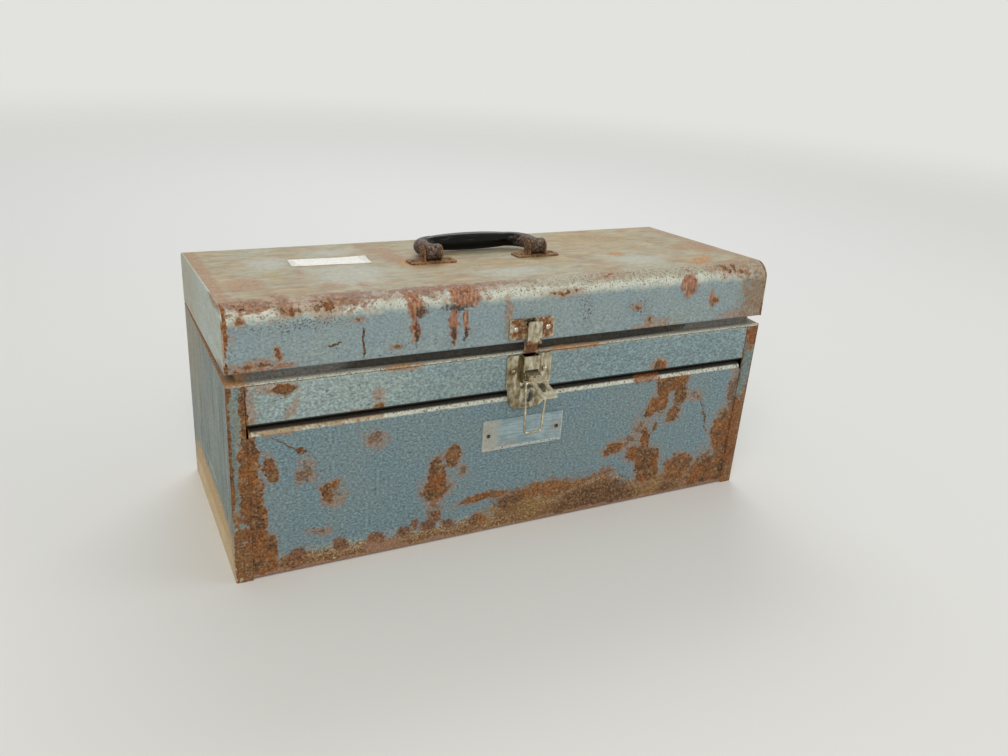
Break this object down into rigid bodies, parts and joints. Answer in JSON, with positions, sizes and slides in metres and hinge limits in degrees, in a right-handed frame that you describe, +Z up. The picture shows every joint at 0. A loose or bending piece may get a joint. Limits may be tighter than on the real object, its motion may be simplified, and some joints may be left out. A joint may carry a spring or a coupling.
{
  "type": "tool box",
  "caption": "Long sheet-steel hand tool box with a wedge-shaped hinged lid, slide-out drawer over a deep bin, draw latch and folding top handle.",
  "frame": {"origin": "centre of the base, on the floor", "axes": "+X along the length towards the right end, +Y towards the hinge at the back, +Z up; the front with the latch faces -Y"},
  "size_m": [0.508, 0.2502, 0.2454],
  "materials": {
    "paint": "worn blue-grey hammertone enamel with rust patches",
    "lid_paint": "faded blue-grey hammertone enamel, rubbed pale and rusty along the edges",
    "slide_steel": "bare rolled steel, rubbed bright where it slides",
    "hinge_steel": "dull steel with brown staining",
    "nickel": "tarnished nickel plating with a yellowish cast",
    "rusty_nickel": "nickel plating broken through by orange rust",
    "plate_aluminium": "satin aluminium, bare",
    "black_handle": "glossy black moulding, rubbed brown at the ends",
    "rusty_steel": "steel with an orange-brown rust skin"
  },
  "bodies": {
    "body": {"end_panel_left": "paint", "end_panel_right": "paint", "bottom_pan": "paint", "front_panel": "paint", "back_panel": "paint", "top_frame": "paint", "rail_left": "slide_steel", "rail_right": "slide_steel", "guide_left": "slide_steel", "guide_right": "slide_steel", "rail_stops": "slide_steel", "hinge_leaf_body": "hinge_steel", "hinge_pin": "hinge_steel", "hinge_rivets_body": "hinge_steel", "name_plate": "plate_aluminium", "plate_rivets": "plate_aluminium"},
    "drawer": {"drawer_front": "paint", "drawer_tray": "paint", "slide_bar_left": "slide_steel", "slide_bar_right": "slide_steel", "stop_tabs": "slide_steel", "latch_base": "nickel", "lever_pin": "nickel", "latch_rivets": "nickel"},
    "lid": {"lid_shell": "lid_paint", "lid_end_left": "lid_paint", "lid_end_right": "lid_paint", "lid_rests": "lid_paint", "hinge_leaf_lid": "hinge_steel", "hinge_rivets_lid": "hinge_steel", "keeper": "rusty_nickel", "keeper_rivets": "rusty_nickel", "handle_bracket_left": "rusty_steel", "handle_bracket_right": "rusty_steel", "handle_pins": "rusty_steel", "handle_rivets": "rusty_steel"},
    "handle": {"handle": "black_handle"},
    "latch_lever": {"latch_lever": "nickel"},
    "latch_bail": {"bail": "nickel"}
  },
  "joints": [
    {"name": "lid_hinge", "type": "hinge", "parent": "body", "child": "lid", "pos_m": [0, 0.1041, 0.1755], "axis": [-1, 0, 0], "range_deg": [-2.3, 105]},
    {"name": "drawer_slide", "type": "slide", "parent": "body", "child": "drawer", "axis": [0, -1, 0], "range_m": [0, 0.15]},
    {"name": "handle_fold", "type": "hinge", "parent": "lid", "child": "handle", "pos_m": [0, -0.00088, 0.23842], "axis": [1, 0, 0], "range_deg": [0, 180]},
    {"name": "latch_lever", "type": "hinge", "parent": "drawer", "child": "latch_lever", "pos_m": [0, -0.1081, 0.1556], "axis": [-1, 0, 0], "range_deg": [-76, 54]},
    {"name": "latch_bail", "type": "hinge", "parent": "latch_lever", "child": "latch_bail", "pos_m": [0, -0.11841, 0.15354], "axis": [-1, 0, 0], "range_deg": [-54, 76]}
  ],
  "couplings": [
    {"joint": "latch_bail", "follows": "latch_lever", "ratio": -1}
  ]
}
